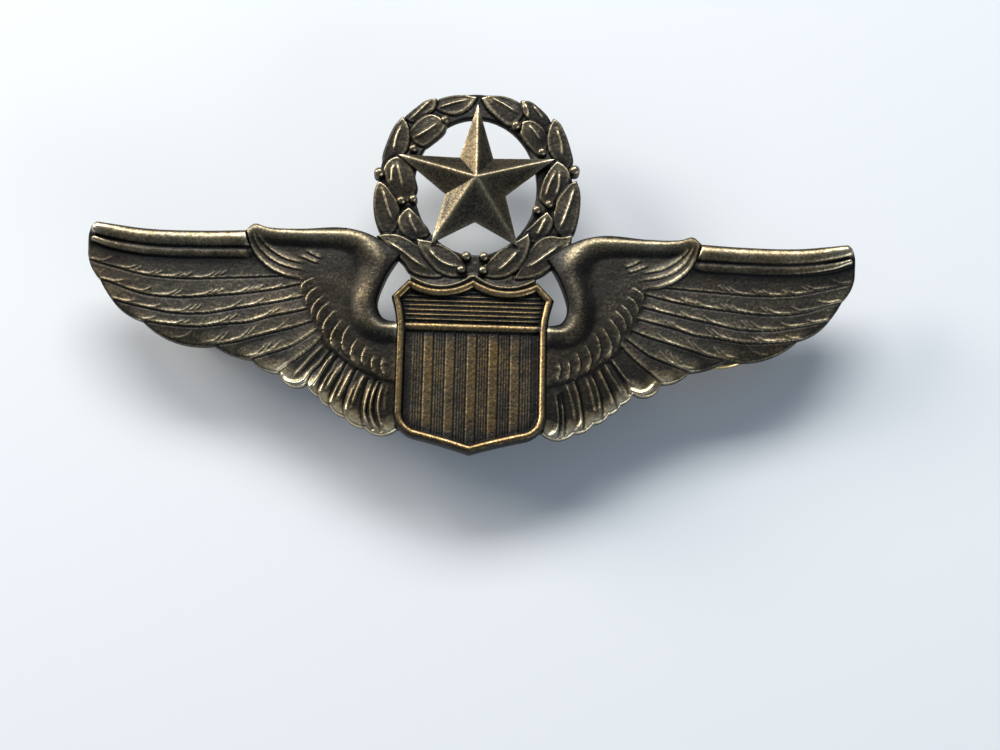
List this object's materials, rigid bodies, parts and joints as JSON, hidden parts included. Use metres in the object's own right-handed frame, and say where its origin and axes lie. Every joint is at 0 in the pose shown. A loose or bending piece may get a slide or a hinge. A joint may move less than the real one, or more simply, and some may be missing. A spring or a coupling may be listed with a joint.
{
  "type": "pilot wings pin",
  "caption": "Struck winged badge with a shield, laurel wreath and faceted star, fixed to cloth by pin posts with squeeze-release butterfly clutches.",
  "frame": {"origin": "middle of the footprint, on the surface that the clutches stand on", "axes": "+X along the wings towards the wearer's left wing tip as seen from the front, +Y from the shield's point towards the star, +Z out of the badge's face"},
  "size_m": [0.0764, 0.0376, 0.0098],
  "materials": {
    "antique_brass": "oxidised and relieved, satin",
    "clutch_brass": "bright stamped",
    "post": "drawn wire, satin",
    "solder": "dull grey tin solder",
    "spring_wire": "drawn spring wire"
  },
  "bodies": {
    "badge": {"wing_plate": "antique_brass", "shield": "antique_brass", "wreath": "antique_brass", "star": "antique_brass", "left_pin_post": "post", "left_solder_fillet": "solder", "right_pin_post": "post", "right_solder_fillet": "solder"},
    "left_clutch": {"left_clutch_base": "clutch_brass", "left_clutch_cover": "clutch_brass", "left_clutch_spring": "spring_wire"},
    "left_jaw_outer": {"left_clutch_jaw_outer": "clutch_brass"},
    "left_jaw_inner": {"left_clutch_jaw_inner": "clutch_brass"},
    "right_clutch": {"right_clutch_base": "clutch_brass", "right_clutch_cover": "clutch_brass", "right_clutch_spring": "spring_wire"},
    "right_jaw_outer": {"right_clutch_jaw_outer": "clutch_brass"},
    "right_jaw_inner": {"right_clutch_jaw_inner": "clutch_brass"}
  },
  "joints": [
    {"name": "left_clutch_pull_off", "type": "slide", "parent": "badge", "child": "left_clutch", "axis": [0, 0, -1], "range_m": [0, 0.009]},
    {"name": "left_squeeze", "type": "slide", "parent": "left_clutch", "child": "left_jaw_outer", "axis": [1, 0, 0], "range_m": [0, 0.0008], "stiffness_N_per_m": 1500, "springref_m": -0.0008, "deforming": ["left_clutch_spring"]},
    {"name": "left_squeeze_back", "type": "slide", "parent": "left_clutch", "child": "left_jaw_inner", "axis": [-1, 0, 0], "range_m": [0, 0.0008], "stiffness_N_per_m": 1500, "springref_m": -0.0008},
    {"name": "right_clutch_pull_off", "type": "slide", "parent": "badge", "child": "right_clutch", "axis": [0, 0, -1], "range_m": [0, 0.009]},
    {"name": "right_squeeze", "type": "slide", "parent": "right_clutch", "child": "right_jaw_outer", "axis": [1, 0, 0], "range_m": [0, 0.0008], "stiffness_N_per_m": 1500, "springref_m": -0.0008, "deforming": ["right_clutch_spring"]},
    {"name": "right_squeeze_back", "type": "slide", "parent": "right_clutch", "child": "right_jaw_inner", "axis": [-1, 0, 0], "range_m": [0, 0.0008], "stiffness_N_per_m": 1500, "springref_m": -0.0008}
  ],
  "couplings": [
    {"joint": "left_squeeze_back", "follows": "left_squeeze", "ratio": 1},
    {"joint": "right_squeeze_back", "follows": "right_squeeze", "ratio": 1}
  ]
}
